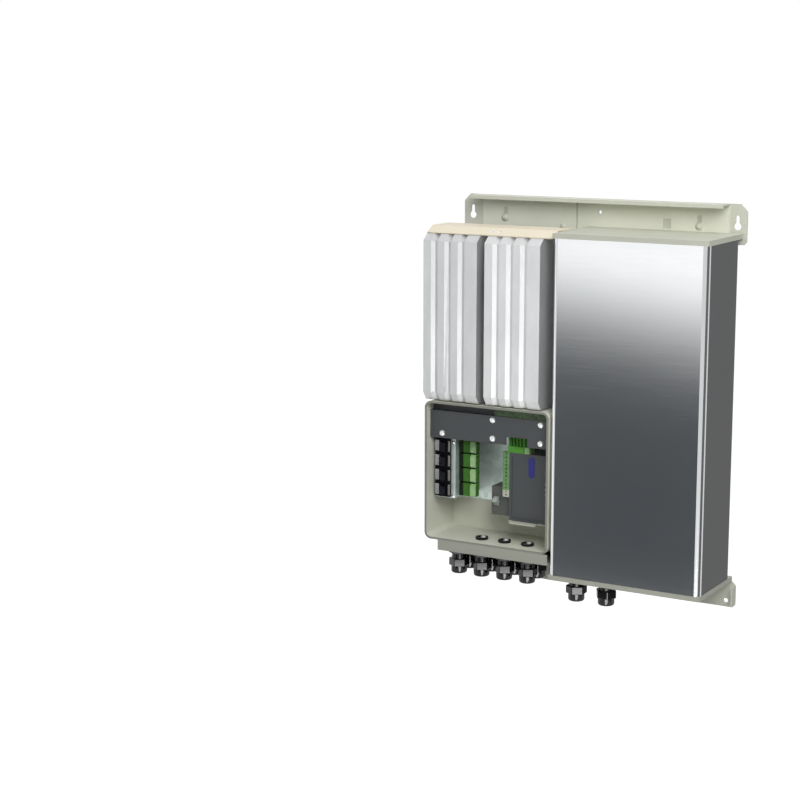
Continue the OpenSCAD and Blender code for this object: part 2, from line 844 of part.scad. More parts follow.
// Body: hex collar under the plate, thread through the plate and neck down into the nut
module gland_bodies() color(black_plastic)
    for (g = glands) translate(g)
        difference() {
            union() {
                translate([0, 0, -gland_collar]) linear_extrude(gland_collar) hexagon(gland_af);
                cylinder(r = gland_r, h = gland_thread);
                translate([0, 0, -gland_collar - gland_neck])
                    cylinder(r = gland_neck_r, h = gland_neck + cut);
            }
            translate([0, 0, -gland_collar - gland_neck - cut])
                cylinder(r = gland_bore_r, h = gland_collar + gland_neck + gland_thread + 2 * cut);
        }

// Dome nut: a round neck, a hexagon and an end that turns in, hollow round the body's neck and the seal
module gland_nuts() color(black_plastic)
    for (g = glands) translate([g[0], g[1], g[2] - gland_collar])
        difference() {
            union() {
                translate([0, 0, -nut_neck_h]) cylinder(r = nut_neck_r, h = nut_neck_h);
                translate([0, 0, -nut_neck_h - nut_hex_h]) linear_extrude(nut_hex_h) hexagon(gland_af);
                nut_end();
            }
            translate([0, 0, -gland_nut_h + nut_wall]) cylinder(r = gland_neck_r + run, h = gland_nut_h);
            translate([0, 0, -gland_nut_h - cut]) cylinder(r = gland_bore_r, h = gland_nut_h);
        }

// The nut's lower end: a straight skirt that turns in to the rim
module nut_end() {
    turn = nut_end_r - nut_rim_r;
    skirt = gland_nut_h - nut_neck_h - turn;
    rotate_extrude() {
        translate([0, -gland_nut_h + turn]) square([nut_end_r, skirt]);
        translate([0, -gland_nut_h]) square([nut_rim_r, skirt]);
        translate([nut_rim_r, -gland_nut_h + turn]) circle(turn);
    }
}

// Rubber ring that closes on the cable, between the neck and the nut's end
module gland_seals() color(rubber_black)
    for (g = glands) translate([g[0], g[1], g[2] - gland_collar - gland_nut_h + nut_wall])
        difference() {
            cylinder(r = gland_neck_r - run, h = gland_nut_h - nut_wall - gland_neck);
            translate([0, 0, -cut]) cylinder(r = gland_bore_r, h = gland_nut_h);
        }

module gland_locknuts() color(black_plastic)
    for (g = glands) translate([g[0], g[1], g[2] + sheet])
        difference() {
            linear_extrude(locknut_h) hexagon(gland_af);
            translate([0, 0, -cut]) cylinder(r = gland_r + run, h = locknut_h + 2 * cut);
        }

// Edge rings in the floor: a collar through the hole with a lip on each side
module floor_grommets() color(rubber_black)
    for (i = open_ways) translate([glands[i][0], glands[i][1], z_box])
        rotate_extrude() {
            lip_r = floor_hole_r + grommet_lip;
            translate([grommet_r, 0]) square([floor_hole_r - grommet_r, box_wall]);
            translate([grommet_r, -grommet_drop]) square([lip_r - grommet_r, grommet_drop]);
            translate([grommet_r, box_wall]) square([lip_r - grommet_r, grommet_rise]);
        }

module mounting_plate() color(zinc)
    block([x_in[0] + mount_inset, x_in[1] - mount_inset], [y_mount, y_in], mount_z);

// Dark cross bracket: a face with screws, a tab at each end on the side walls and a stepped left part
module bracket() color(dark_paint)
    difference() {
        step_x = [x_in[0], board_x[0] - fit];
        z_face = [z_bracket, z_bracket + bracket_h];
        union() {
            block(x_in, [y_bracket, y_bracket + bracket_sheet], z_face);
            for (edge = [[x_in[0], x_in[0] + bracket_sheet], [x_in[1] - bracket_sheet, x_in[1]]])
                block(edge, [y_bracket, y_bracket + bracket_tab], z_face);
            block(step_x, [y_bracket, y_bracket + bracket_flange], [z_face[1] - bracket_sheet, z_face[1]]);
            block(
                step_x, [y_bracket + bracket_flange - bracket_sheet, y_bracket + bracket_flange],
                [z_face[1] - bracket_sheet, z_face[1] + bracket_step]
            );
        }
        block(
            notch_x, [y_bracket - cut, y_bracket + bracket_sheet + cut],
            [z_bracket - cut, z_bracket + notch_h]
        );
        for (p = dome_places) facing_front(p[0], y_bracket + bracket_sheet + cut, p[1])
            cylinder(r = dome_shank_r + run, h = bracket_sheet + 2 * cut);
    }

module bracket_screws() color(steel)
    for (p = dome_places) facing_front(p[0], y_bracket, p[1])
        dome_screw(dome_r, dome_h, dome_shank_r, bracket_sheet);

// Circuit board on the bracket's back, its upper edge in view
module interface_board() color(board_green)
    block(board_x, [y_bracket + bracket_sheet, y_bracket + bracket_sheet + board_t], board_z);

// Channel that holds the breakers: a front with a window and two sides back to the mounting plate
module breaker_bracket() color(zinc)
    difference() {
        union() {
            block(panel_x, [y_panel, y_panel + panel_sheet], panel_z);
            for (edge = [[panel_x[0], panel_x[0] + panel_sheet], [panel_x[1] - panel_sheet, panel_x[1]]])
                block(edge, [y_panel, y_mount], panel_z);
        }
        block(
            [breaker_x + breaker_neck - fit, breaker_x + breaker_face - breaker_neck + fit],
            [y_panel - cut, y_panel + panel_sheet + cut],
            [breaker_z0 - fit, breaker_z0 + breaker_n * breaker_pitch]
        );
        panel_screw_places() cylinder(r = panel_screw_r + run, h = 2 * panel_sheet + 2 * cut, center = true);
    }

module panel_screw_places()
    for (z = panel_screw_zs) facing_front(panel_screw_x, y_panel, z) children();

module breaker_bracket_screws() color(steel)
    panel_screw_places() dome_screw(panel_head_r, panel_head_h, panel_screw_r, panel_sheet);

function breaker_z(i) = breaker_z0 + (i - 1) * breaker_pitch;

// Breaker: a bezel in front of the channel, a body through its window and a round seat for the toggle
module breaker(i) color(black_plastic) {
    z = [breaker_z(i), breaker_z(i) + breaker_h];
    z_mid = (z[0] + z[1]) / 2;
    difference() {
        union() {
            block([breaker_x, breaker_x + breaker_face], [y_breaker, y_panel], z);
            block(
                [breaker_x + breaker_neck, breaker_x + breaker_face - breaker_neck],
                [y_panel, y_breaker + breaker_body_d], z
            );
        }
        translate([x_drum, y_drum, z_mid]) cylinder(r = drum_r + fit, h = drum_l + 2 * fit, center = true);
        translate([x_drum, y_drum, z_mid])
            cylinder(r = pivot_r + run, h = drum_l + 2 * (pivot_l + fit), center = true);
    }
}

module breaker_1() breaker(1);
module breaker_2() breaker(2);
module breaker_3() breaker(3);
module breaker_4() breaker(4);

// Toggle: a drum on two pivot pins with a tapered lever, drawn in its on position
module toggle(r, l, lever, t, pin) {
    cylinder(r = r, h = l, center = true);
    cylinder(r = pivot_r, h = l + 2 * pin, center = true);
    translate([0, 0, -l / 2]) linear_extrude(l)
        polygon([[-t, 0], [t, 0], [t / 2, -r - lever], [-t / 2, -r - lever]]);
}

module breaker_toggle(i) color(black_plastic)
    translate([x_drum, y_drum, breaker_z(i) + breaker_h / 2]) rotate([0, 0, lever_tilt])
        toggle(drum_r, drum_l, lever_l, lever_t, pivot_l);

module breaker_toggle_1() breaker_toggle(1);
module breaker_toggle_2() breaker_toggle(2);
module breaker_toggle_3() breaker_toggle(3);
module breaker_toggle_4() breaker_toggle(4);

// Header strip on the mounting plate that the output plugs push on to
module terminal_header() color(dark_green)
    block(
        [plug_x[0], plug_x[0] + header_w], [y_plug + plug_d, y_mount],
        [breaker_z(1), breaker_z(breaker_n) + breaker_h]
    );

// Output plug: a body with a raised strip on its right and two square wire entries in its right side
module output_plug(i) color(green_plastic) {
    z = [breaker_z(i) + plug_gap / 2, breaker_z(i) + breaker_pitch - plug_gap / 2];
    z_mid = (z[0] + z[1]) / 2;
    y_entry = y_plug + (plug_d - entry_w) / 2;
    difference() {
        union() {
            block(plug_x, [y_plug, y_plug + plug_d], z);
            block(
                [plug_x[1] - plug_lip_w, plug_x[1]], [y_plug - plug_step, y_plug],
                [z[0] + plug_lip_inset, z[1] - plug_lip_inset]
            );
        }
        for (dz = [-1, 1]) {
            z_entry = z_mid + dz * breaker_pitch / 4;
            block(
                [plug_x[1] - entry_depth, plug_x[1] + cut], [y_entry, y_entry + entry_w],
                [z_entry - entry_h / 2, z_entry + entry_h / 2]
            );
        }
    }
}

module output_plug_1() output_plug(1);
module output_plug_2() output_plug(2);
module output_plug_3() output_plug(3);
module output_plug_4() output_plug(4);

// Controller housing with round edges and a shallow face recess
module controller_box() color(dark_paint) {
    z = [controller_z, controller_z + controller_h];
    difference() {
        panel(y_mount, controller_d) round_rect(controller_x, z, controller_corner);
        panel(y_controller + face_recess, face_recess + cut) round_rect(
            [controller_x[0] + face_border, controller_x[1] - face_border],
            [z[0] + face_border, z[1] - face_border], controller_corner
        );
    }
}

// Tray that the controller stands on, with part of its front edge in view
module controller_tray() color(paint) {
    block(controller_x, [y_controller, y_mount], [controller_z - tray_sheet, controller_z]);
    block(
        tray_lip_x, [y_controller - tray_lip, y_controller + tray_lip],
        [controller_z - tray_sheet, controller_z]
    );
    block(
        controller_x, [y_mount - tray_sheet, y_mount],
        [controller_z - tray_lip, controller_z - tray_sheet]
    );
}

module controller_leds() color(amber)
    for (k = [0 : led_count - 1])
        facing_front(
            controller_x[1] - led_inset, y_controller + face_recess, controller_z + led_z + k * led_pitch
        ) dome(led_r, led_rise);

// Upright connector on the controller's left side, with a row of square wire entries
module signal_plug() color(green_plastic) {
    x = [controller_x[0] - signal_w, controller_x[0]];
    z = [controller_z + controller_h - signal_h, controller_z + controller_h];
    pitch = signal_h / signal_pins;
    x_mid_pin = (x[0] + x[1]) / 2;
    difference() {
        block(x, [y_controller, y_controller + signal_d], z);
        for (k = [0 : signal_pins - 1]) {
            z_pin = z[0] + (k + 0.5) * pitch;
            block(
                [x_mid_pin - pin_w / 2, x_mid_pin + pin_w / 2],
                [y_controller - cut, y_controller + pin_depth], [z_pin - pin_h / 2, z_pin + pin_h / 2]
            );
        }
    }
}

// Stepped connector on top of the controller: a low part over its whole width and a taller toothed left part
module bus_plug() color(green_plastic) {
    x = controller_x[0] - bus_overhang;
    z = controller_z + controller_h;
    pitch = bus_tall_w / bus_pins;
    difference() {
        union() {
            block([x, x + bus_w], [y_controller, y_controller + bus_d], [z, z + bus_low_h]);
            block([x, x + bus_tall_w], [y_controller + bus_step, y_controller + bus_d], [z, z + bus_h]);
        }
        for (k = [1 : bus_pins - 1])
            block(
                [x + k * pitch - pin_w / 2, x + k * pitch + pin_w / 2],
                [y_controller + bus_step - cut, y_controller + bus_step + pin_depth],
                [z + bus_low_h, z + bus_h + cut]
            );
    }
}

// Battery disconnect: a housing with a round seat for its toggle
module battery_switch() color(dark_paint)
    difference() {
        block([switch_x, switch_x + switch_w], [y_switch, y_mount], [switch_z, switch_z + switch_h]);
        switch_seat() {
            cylinder(r = switch_drum_r + fit, h = switch_drum_l + 2 * fit, center = true);
            cylinder(r = pivot_r + run, h = switch_drum_l + 2 * (pivot_l + fit), center = true);
        }
    }

// Lays a piece that turns about Z along the disconnect's pivot
module switch_seat()
    translate([x_switch, y_switch + switch_sink, z_switch]) rotate([0, 90, 0]) children();

module battery_switch_toggle() color(grey_plastic)
    switch_seat() rotate([0, 0, -switch_tilt])
        toggle(switch_drum_r, switch_drum_l, switch_lever_l, switch_lever_t, pivot_l);

wall_plate();
hanging_screws();
frame_screw();
battery_back();
top_shelf();
bottom_plate();
case_back();
battery_cover();
cover_screws();
battery_rack();
battery_1();
battery_2();
battery_3();
battery_4();
battery_posts();
power_frame();
rectifier_base_1();
rectifier_base_2();
rectifier_1();
rectifier_2();
top_plate();
top_plate_screws();
terminal_box();
gland_tray();
gland_bodies();
gland_nuts();
gland_seals();
gland_locknuts();
floor_grommets();
mounting_plate();
bracket();
bracket_screws();
interface_board();
breaker_bracket();
breaker_bracket_screws();
breaker_1();
breaker_2();
breaker_3();
breaker_4();
breaker_toggle_1();
breaker_toggle_2();
breaker_toggle_3();
breaker_toggle_4();
terminal_header();
output_plug_1();
output_plug_2();
output_plug_3();
output_plug_4();
controller_box();
controller_tray();
controller_leds();
signal_plug();
bus_plug();
battery_switch();
battery_switch_toggle();
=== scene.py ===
"""Looks of a wall-hung outdoor power cabinet with its hood off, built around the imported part."""

import json
import math

import bmesh
import bpy
from bpy.props import FloatProperty, FloatVectorProperty, PointerProperty
from mathutils import Matrix, Vector


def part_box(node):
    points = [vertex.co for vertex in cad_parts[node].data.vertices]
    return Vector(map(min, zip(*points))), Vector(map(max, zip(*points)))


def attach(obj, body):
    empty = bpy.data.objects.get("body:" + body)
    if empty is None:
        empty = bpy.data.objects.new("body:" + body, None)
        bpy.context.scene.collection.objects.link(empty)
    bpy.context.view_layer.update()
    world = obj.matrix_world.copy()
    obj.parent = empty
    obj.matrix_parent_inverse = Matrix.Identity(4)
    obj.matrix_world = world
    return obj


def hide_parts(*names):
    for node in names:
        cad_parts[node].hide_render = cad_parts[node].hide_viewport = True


bl_info = {
    "name": "Outdoor power cabinet",
    "version": (1, 0, 0),
    "blender": (4, 5, 0),
    "location": "3D View > Sidebar > Cabinet",
    "description": "Finishes and small parts of an open wall-hung power cabinet",
    "category": "Object",
}

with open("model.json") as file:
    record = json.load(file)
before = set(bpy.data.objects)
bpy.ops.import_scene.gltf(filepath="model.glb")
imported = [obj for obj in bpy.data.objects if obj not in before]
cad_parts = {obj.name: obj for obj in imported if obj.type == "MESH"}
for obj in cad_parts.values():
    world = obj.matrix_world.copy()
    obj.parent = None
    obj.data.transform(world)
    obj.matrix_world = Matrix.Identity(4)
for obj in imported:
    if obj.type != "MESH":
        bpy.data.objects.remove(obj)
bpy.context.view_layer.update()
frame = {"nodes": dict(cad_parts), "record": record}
NODES = frame["nodes"]
MOUNTS = {m["name"]: m for m in frame["record"]["mounts"]}
MM = 0.001
# Past any piece, for a limit that stays open
FAR = 1.0
# Share of the paint tone on the terminal box's front edge, which is painted shade
SHADED_EDGE_SHARE = 0.42
# Edges sharper than this, in degrees, keep the nuts' chamfers crisp and leave the round parts smooth
NUT_SHARP = 17
# Height of a gland's seat above its cable mount
GLAND_SEAT = 14.5 * MM
CAMERA_PLACE = (1.1074, -2.4510, 0.7505)
CAMERA_TURN = (math.radians(79.79), 0, math.radians(30.40))


# Sizes and colours that a user would change

def colour(label, text, value):
    return FloatVectorProperty(
        name=label, description=text, default=value, size=3, min=0, max=1, subtype="COLOR"
    )


def length(label, text, value):
    return FloatProperty(name=label, description=text, default=value, min=0, unit="LENGTH")


def factor(label, text, value):
    return FloatProperty(name=label, description=text, default=value, min=0, max=1, subtype="FACTOR")


class CabinetFinish(bpy.types.PropertyGroup):
    paint: colour("Paint", "Pale powder coat of the sheet metal", (0.60, 0.61, 0.52))
    # The cream tone is the pale sheet paint with a painted warm reflection on it
    cream: colour("Cream", "Paint of the sheet over the rectifiers", (0.80, 0.73, 0.58))
    casting: colour("Casting", "Blasted die-cast housings", (0.65, 0.66, 0.665))
    stainless: colour("Stainless", "Brushed battery cover", (0.60, 0.61, 0.62))
    zinc: colour("Zinc", "Zinc-plated sheet", (0.58, 0.67, 0.64))
    dark: colour("Dark paint", "Cross bracket and controller", (0.058, 0.064, 0.069))
    green: colour("Green", "Plug bodies", (0.060, 0.190, 0.030))
    light_green: colour("Light green", "Raised fronts of the plugs", (0.40, 0.62, 0.30))
    blue: colour("Blue", "Plain field on the controller", (0.030, 0.030, 0.230))


class CabinetDetail(bpy.types.PropertyGroup):
    strip_depth: length("Strip depth", "How far the breakers' side strips stand proud", 0.0010)
    strip_left: length("Left strip", "Width of the pale strip left of each toggle", 0.0066)
    strip_right: length("Right strip", "Width of the beige strip right of each toggle", 0.0032)
    strip_gap: length("Strip gap", "Bare height between two breakers' strips", 0.0052)
    gland_flats: length("Gland flats", "Width across the gland nuts' flats", 0.0265)
    field_width: length("Field width", "Width of the blue field", 0.0095)
    field_height: length("Field height", "Height of the blue field", 0.0310)
    edge: length("Edge", "Rounding of small moulded edges", 0.0004)


class CabinetStage(bpy.types.PropertyGroup):
    floor_drop: length("Floor drop", "Distance from the fixing line down to the floor", 0.40)
    fill: factor("Fill", "Strength of the even studio light", 0.30)
    key: FloatProperty(name="Key", description="Power of the large soft lamp", default=41, min=0, unit="POWER")
    lens: FloatProperty(name="Lens", description="Focal length on a 36 mm frame", default=84.7, min=10)


# Node helpers for the finishes

class Finish:
    """A material under construction, with short calls for the nodes that the finishes share."""

    def __init__(self, name):
        self.material = bpy.data.materials.new(name)
        self.material.use_nodes = True
        self.nodes = self.material.node_tree.nodes
        self.links = self.material.node_tree.links
        self.shader = self.nodes["Principled BSDF"]
        self.place = self.add("ShaderNodeTexCoord").outputs["Object"]

    def add(self, kind, **values):
        node = self.nodes.new(kind)
        for key, value in values.items():
            setattr(node, key, value)
        return node

    def join(self, source, target):
        self.links.new(source, target)

    def set(self, **values):
        for key, value in values.items():
            self.shader.inputs[key.replace("_", " ")].default_value = value

    def stretched(self, scale):
        node = self.add("ShaderNodeMapping")
        node.inputs["Scale"].default_value = scale
        self.join(self.place, node.inputs["Vector"])
        return node.outputs["Vector"]

    def noise(self, scale, detail=3.0, rough=0.5, place=None):
        node = self.add("ShaderNodeTexNoise")
        node.inputs["Scale"].default_value = scale
        node.inputs["Detail"].default_value = detail
        node.inputs["Roughness"].default_value = rough
        self.join(place or self.place, node.inputs["Vector"])
        return node.outputs["Fac"]

    def spread(self, value, low, high, start=0.0, stop=1.0):
        """Carries a value from one range over to another, and holds it there."""
        node = self.add("ShaderNodeMapRange")
        self.join(value, node.inputs["Value"])
        node.inputs["From Min"].default_value = start
        node.inputs["From Max"].default_value = stop
        node.inputs["To Min"].default_value = low
        node.inputs["To Max"].default_value = high
        return node.outputs["Result"]

    def tones(self, value, dark, light, start=0.3, stop=0.7):
        node = self.add("ShaderNodeValToRGB")
        node.color_ramp.elements[0].position = start
        node.color_ramp.elements[1].position = stop
        node.color_ramp.elements[0].color = (*dark, 1)
        node.color_ramp.elements[1].color = (*light, 1)
        self.join(value, node.inputs["Fac"])
        return node.outputs["Color"]

    def axis(self, name):
        node = self.add("ShaderNodeSeparateXYZ")
        self.join(self.place, node.inputs["Vector"])
        return node.outputs[name]

    def calc(self, operation, first, second):
        """A math node on two values, each a socket or a number."""
        node = self.add("ShaderNodeMath", operation=operation)
        for socket, value in ((node.inputs[0], first), (node.inputs[1], second)):
            if isinstance(value, (int, float)):
                socket.default_value = value
            else:
                self.join(value, socket)
        return node.outputs[0]

    def between(self, name, low, high):
        """1 where the piece's own place along an axis lies between two values, else 0."""
        along = self.axis(name)
        return self.calc("MULTIPLY", self.calc("GREATER_THAN", along, low), self.calc("LESS_THAN", along, high))

    def mixed(self, value, first, second):
        node = self.add("ShaderNodeMix", data_type="RGBA")
        self.join(value, node.inputs["Factor"])
        for socket, tone in ((node.inputs["A"], first), (node.inputs["B"], second)):
            if isinstance(tone, tuple):
                socket.default_value = (*tone, 1)
            else:
                self.join(tone, socket)
        return node.outputs["Result"]

    def bump(self, height, strength, depth):
        node = self.add("ShaderNodeBump")
        node.inputs["Strength"].default_value = strength
        node.inputs["Distance"].default_value = depth
        self.join(height, node.inputs["Height"])
        self.join(node.outputs["Normal"], self.shader.inputs["Normal"])

    def base(self, socket):
        self.join(socket, self.shader.inputs["Base Color"])

    def rough(self, socket):
        self.join(socket, self.shader.inputs["Roughness"])


def shade(tone, amount):
    return tuple(min(1.0, c * amount) for c in tone)


def powder_coat(name, tone, rough=0.42, edge=None):
    """Sprayed powder coat: orange-peel skin and faint clouds, with painted shade in front of an edge plane if
    given.
    """
    f = Finish(name)
    cloud = f.noise(9, 4, 0.6)

    def clouded(base):
        return f.tones(cloud, shade(base, 0.94), shade(base, 1.04))

    coat = clouded(tone)
    if edge is not None:
        coat = f.mixed(f.between("Y", -FAR, edge), coat, clouded(shade(tone, SHADED_EDGE_SHARE)))
    f.base(coat)
    f.rough(f.spread(f.noise(60, 3), rough - 0.06, rough + 0.10))
    f.bump(f.noise(900, 2), 0.10, 0.0002)
    f.set(Specular_IOR_Level=0.45)
    return f.material


def blasted_casting(name, tone):
    """Die-cast housing after blasting: fine grain, soft blotches and a matt metallic sheen."""
    f = Finish(name)
    blotch = f.noise(22, 5, 0.65, f.stretched((1.0, 1.0, 0.45)))
    f.base(f.tones(blotch, shade(tone, 0.90), shade(tone, 1.06)))
    f.rough(f.spread(f.noise(140, 3), 0.42, 0.54))
    f.bump(f.noise(1500, 2), 0.14, 0.0002)
    f.set(Metallic=0.66, Specular_IOR_Level=0.4)
    return f.material


def brushed_sheet(name, tone):
    """Stainless sheet brushed along its width, with faint cloudiness from handling."""
    f = Finish(name)
    grain = f.noise(1, 3, 0.6, f.stretched((14, 14, 900)))
    cloud = f.noise(26, 4, 0.6)
    f.base(f.mixed(f.spread(cloud, 0.0, 0.35), tone, shade(tone, 0.90)))
    f.rough(f.spread(grain, 0.08, 0.14))
    f.bump(grain, 0.012, 0.0001)
    f.set(Metallic=1.0)
    return f.material


def zinc_plate(name, tone):
    """Zinc-plated sheet with a faint spangle."""
    f = Finish(name)
    cells = f.add("ShaderNodeTexVoronoi")
    cells.inputs["Scale"].default_value = 130
    f.join(f.place, cells.inputs["Vector"])
    f.base(f.tones(cells.outputs["Color"], shade(tone, 0.90), shade(tone, 1.08), 0.2, 0.8))
    f.rough(f.spread(f.noise(50, 3), 0.34, 0.50))
    f.bump(f.noise(700, 2), 0.05, 0.0001)
    f.set(Metallic=0.6)
    return f.material


def plated_steel(name, tone=(0.72, 0.73, 0.74)):
    """Bright plated fasteners with fine turning marks."""
    f = Finish(name)
    f.base(f.tones(f.noise(300, 3), shade(tone, 0.88), shade(tone, 1.08)))
    f.rough(f.spread(f.noise(900, 2), 0.18, 0.32))
    f.bump(f.noise(1800, 2), 0.05, 0.0001)
    f.set(Metallic=0.9)
    return f.material


def moulded(name, tone, rough=0.38, grain=1100, depth=0.10, shine=0.4):
    """Moulded plastic: fine spark-eroded grain, with slightly uneven gloss."""
    f = Finish(name)
    f.base(f.tones(f.noise(70, 3), shade(tone, 0.88), shade(tone, 1.08)))
    f.rough(f.spread(f.noise(180, 3), rough - 0.08, rough + 0.10))
    f.bump(f.noise(grain, 2), depth, 0.0002)
    f.set(Specular_IOR_Level=shine)
    return f.material


def banded_plug(name, tones, bands):
    """Green plug in bands: each band is a tone and the limits that it fills on one or two axes; a band may be
    painted shade.
    """
    f = Finish(name)
    cloud = f.noise(120, 3)
    result = f.tones(cloud, shade(tones[0], 0.82), shade(tones[0], 1.14))
    for tone, limits in zip(tones[1:], bands):
        masks = [f.between(axis, low, high) for axis, (low, high) in limits.items()]
        inside = masks[0]
        for mask in masks[1:]:
            inside = f.calc("MULTIPLY", inside, mask)
        result = f.mixed(inside, result, f.tones(cloud, shade(tone, 0.90), shade(tone, 1.06)))
    f.base(result)
    f.rough(f.spread(f.noise(260, 3), 0.36, 0.54))
    f.bump(f.noise(1100, 2), 0.10, 0.0002)
    f.set(Specular_IOR_Level=0.12)
    return f.material


def ring_with_painted_light(name, tone, painted_light_tone, first, pitch, row, radius):
    """Rubber edge rings in a row, each with painted light inside that fades from its pale middle to both sides."""
    f = Finish(name)
    offset = f.calc("SUBTRACT", f.axis("X"), first - pitch / 2)
    along = f.calc("SUBTRACT", f.calc("FLOORED_MODULO", offset, pitch), pitch / 2)
    across = f.calc("SUBTRACT", f.axis("Y"), row)
    squares = f.calc("ADD", f.calc("MULTIPLY", along, along), f.calc("MULTIPLY", across, across))
    inside = f.calc("LESS_THAN", squares, radius * radius)
    fade = f.spread(f.calc("ABSOLUTE", along, 0), 1.0, 0.0, radius * 0.22, radius * 0.70)
    cloud = f.noise(300, 3)
    outer = f.tones(cloud, shade(tone, 0.8), shade(tone, 1.2))
    inner = f.tones(cloud, shade(painted_light_tone, 0.92), shade(painted_light_tone, 1.04))
    f.base(f.mixed(f.calc("MULTIPLY", inside, fade), outer, inner))
    f.rough(f.spread(f.noise(200, 3), 0.48, 0.66))
    f.bump(f.noise(800, 2), 0.15, 0.0002)
    f.set(Specular_IOR_Level=0.15)
    return f.material


def printed_board(name, tone):
    """Circuit board: solder mask with rows of small dark and pale parts on it."""
    f = Finish(name)
    cells = f.add("ShaderNodeTexVoronoi", distance="CHEBYCHEV")
    cells.inputs["Scale"].default_value = 260
    f.join(f.stretched((1.0, 1.0, 0.8)), cells.inputs["Vector"])
    parts = f.tones(cells.outputs["Color"], shade(tone, 0.35), shade(tone, 2.2), 0.25, 0.8)
    mask = f.spread(f.noise(90, 4), 0.0, 1.0)
    f.base(f.mixed(mask, f.tones(f.noise(40, 3), shade(tone, 0.8), shade(tone, 1.2)), parts))
    f.rough(f.spread(f.noise(160, 3), 0.30, 0.50))
    f.bump(cells.outputs["Distance"], 0.20, 0.0003)
    return f.material


def glossy_gland(name):
    """Black gland nut: smooth moulding with a clear shine and faint handling marks."""
    f = Finish(name)
    tone = (0.008, 0.008, 0.010)
    f.base(f.tones(f.noise(80, 4), shade(tone, 0.8), shade(tone, 1.3)))
    f.rough(f.spread(f.noise(60, 3), 0.07, 0.11))
    f.bump(f.noise(240, 2), 0.02, 0.0002)
    f.set(Specular_IOR_Level=0.30)
    return f.material


# Mesh helpers

def mesh_object(name, bm, material, body):
    """A finished mesh piece that rides on a body and takes the given finish."""
    mesh = bpy.data.meshes.new(name)
    bm.to_mesh(mesh)
    bm.free()
    obj = bpy.data.objects.new(name, mesh)
    bpy.context.scene.collection.objects.link(obj)
    obj.data.materials.append(material)
    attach(obj, body)
    return obj


def soft_block(bm, low, high, radius, segments=3):
    """A block between two corners with rounded edges."""
    made = bmesh.ops.create_cube(bm, size=1)
    low, high = Vector(low), Vector(high)
    size = high - low
    for v in made["verts"]:
        v.co = Vector((v.co[i] * size[i] for i in range(3))) + (low + high) / 2
    edges = list({e for v in made["verts"] for e in v.link_edges})
    offset = min(radius, min(size) * 0.45)
    bmesh.ops.bevel(bm, geom=edges, offset=offset, segments=segments, profile=0.5, affect="EDGES")


def lathe(bm, profile, steps):
    """A closed ring: a closed profile of radius and height turned about Z."""
    rings = []
    for k in range(steps):
        a = 2 * math.pi * k / steps
        rings.append([bm.verts.new((r * math.cos(a), r * math.sin(a), z)) for r, z in profile])
    n = len(profile)
    for k in range(steps):
        here, there = rings[k], rings[(k + 1) % steps]
        for i in range(n):
            bm.faces.new((here[i], there[i], there[(i + 1) % n], here[(i + 1) % n]))


def smooth(mesh, angle=40):
    """Soft shading that keeps edges sharper than an angle."""
    mesh.shade_smooth()
    mesh.set_sharp_from_angle(angle=math.radians(angle))


def numbered(name):
    """The names of four like nodes."""
    return ["%s_%d" % (name, i) for i in range(1, 5)]


def finish_of(*names, material):
    """Gives CAD nodes a finish."""
    for name in names:
        slots = NODES[name].data.materials
        slots.clear()
        slots.append(material)


# Geometry Nodes: one shape set on every point

def scatter_tree(name):
    """Sets a shape on each point of the input, made real and given a finish."""
    tree = bpy.data.node_groups.new(name, "GeometryNodeTree")
    face = tree.interface
    face.new_socket("Points", in_out="INPUT", socket_type="NodeSocketGeometry")
    face.new_socket("Shape", in_out="INPUT", socket_type="NodeSocketObject")
    face.new_socket("Finish", in_out="INPUT", socket_type="NodeSocketMaterial")
    face.new_socket("Pieces", in_out="OUTPUT", socket_type="NodeSocketGeometry")
    add = tree.nodes.new
    entry, leave = add("NodeGroupInput"), add("NodeGroupOutput")
    shape, place = add("GeometryNodeObjectInfo"), add("GeometryNodeInstanceOnPoints")
    real, paint = add("GeometryNodeRealizeInstances"), add("GeometryNodeSetMaterial")
    shape.transform_space = "ORIGINAL"
    for source, target in (
        (entry.outputs["Points"], place.inputs["Points"]),
        (entry.outputs["Shape"], shape.inputs["Object"]),
        (shape.outputs["Geometry"], place.inputs["Instance"]),
        (place.outputs["Instances"], real.inputs["Geometry"]),
        (real.outputs["Geometry"], paint.inputs["Geometry"]),
        (entry.outputs["Finish"], paint.inputs["Material"]),
        (paint.outputs["Geometry"], leave.inputs["Pieces"]),
    ):
        tree.links.new(source, target)
    return tree


def scatter(name, points, shape, material, body, sharp=40):
    """Bakes one shape on many points to a plain mesh piece."""
    mesh = bpy.data.meshes.new(name)
    mesh.from_pydata([tuple(p) for p in points], [], [])
    holder = bpy.data.objects.new(name, mesh)
    bpy.context.scene.collection.objects.link(holder)
    modifier = holder.modifiers.new("scatter", "NODES")
    modifier.node_group = scatter_tree(name)
    ids = {s.name: s.identifier for s in modifier.node_group.interface.items_tree if s.in_out == "INPUT"}
    modifier[ids["Shape"]] = shape
    modifier[ids["Finish"]] = material
    bpy.context.view_layer.update()
    depsgraph = bpy.context.evaluated_depsgraph_get()
    baked = bpy.data.meshes.new_from_object(holder.evaluated_get(depsgraph))
    holder.modifiers.clear()
    holder.data = baked
    smooth(baked, sharp)
    if not baked.polygons:
        raise RuntimeError(name + " came out empty")
    spare = shape.data
    bpy.data.objects.remove(shape)
    bpy.data.meshes.remove(spare)
    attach(holder, body)
    return holder


def shape_object(name, bm):
    """A loose shape for a scatter, which is removed after the bake."""
    mesh = bpy.data.meshes.new(name)
    bm.to_mesh(mesh)
    bm.free()
    obj = bpy.data.objects.new(name, mesh)
    bpy.context.scene.collection.objects.link(obj)
    return obj


# Operators, one for each piece or group of like pieces

